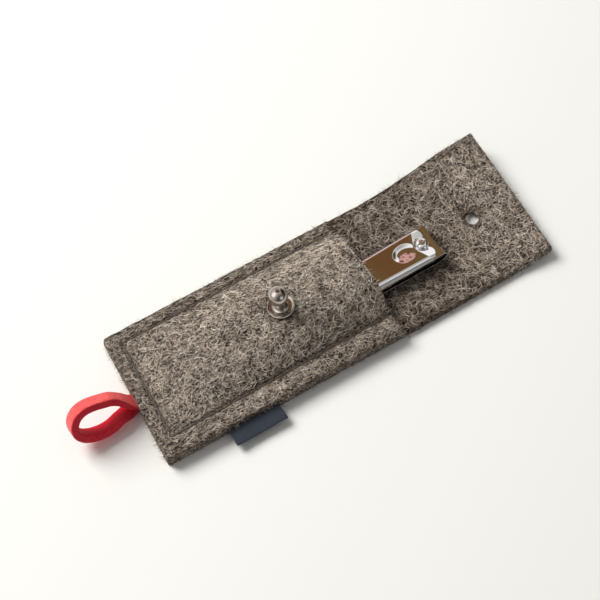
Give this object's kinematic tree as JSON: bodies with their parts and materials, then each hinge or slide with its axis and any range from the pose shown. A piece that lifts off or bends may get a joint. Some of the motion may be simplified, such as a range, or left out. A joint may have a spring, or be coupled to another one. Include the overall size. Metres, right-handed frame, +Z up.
{
  "type": "felt manicure case",
  "caption": "Felt case with a domed pocket for a nail clipper, a flap that buttons over a ball stud, a leather hanging loop and a blank side label.",
  "frame": {"origin": "on the underside of the felt strip, at the pocket's mouth and the middle of the strip's width", "axes": "+X along the strip from the pocket's mouth to the flap's end, +Y to the side away from the label, +Z up"},
  "size_m": [0.1875, 0.0606, 0.0253],
  "materials": {
    "wool_felt": "heathered grey-brown wool felt",
    "sewing_thread": "dark brown twisted thread",
    "red_leather": "dyed leather band",
    "woven_ribbon": "fine woven ribbon",
    "gunmetal": "gunmetal plate, polished",
    "chrome_plate": "polished chrome plate"
  },
  "bodies": {
    "case": {"back_panel": "wool_felt", "flap_bend": "wool_felt", "pocket_panel": "wool_felt", "needle_thread": "sewing_thread", "bobbin_thread": "sewing_thread", "bend_thread": "sewing_thread", "hanging_loop": "red_leather", "side_label": "woven_ribbon", "ball_stud": "gunmetal", "stud_screw": "gunmetal"},
    "flap": {"flap": "wool_felt", "button_hole_felt": "wool_felt", "flap_needle_thread": "sewing_thread", "flap_bobbin_thread": "sewing_thread"},
    "clipper": {"clipper_lower_leaf": "chrome_plate", "clipper_pin": "chrome_plate", "clipper_lever": "chrome_plate", "clipper_rivet": "chrome_plate"},
    "clipper_upper": {"clipper_upper_leaf": "chrome_plate"}
  },
  "joints": [
    {"name": "flap_fold", "type": "hinge", "parent": "case", "child": "flap", "pos_m": [0.007, 0, 0.01008], "axis": [0, -1, 0], "range_deg": [0, 180], "deforming": ["flap_bend", "bend_thread", "button_hole_felt"]},
    {"name": "clipper_slide", "type": "slide", "parent": "case", "child": "clipper", "axis": [1, 0, 0], "range_m": [-0.0205, 0]},
    {"name": "jaw_close", "type": "hinge", "parent": "clipper", "child": "clipper_upper", "pos_m": [-0.042, -0.00325, 0.00475], "axis": [0, 1, 0], "range_deg": [0, 1.17], "stiffness_Nm_per_rad": 20}
  ],
  "couplings": [
    {"joint": "flap_fold", "follows": "clipper_slide", "rad_per_m": -153.25}
  ]
}
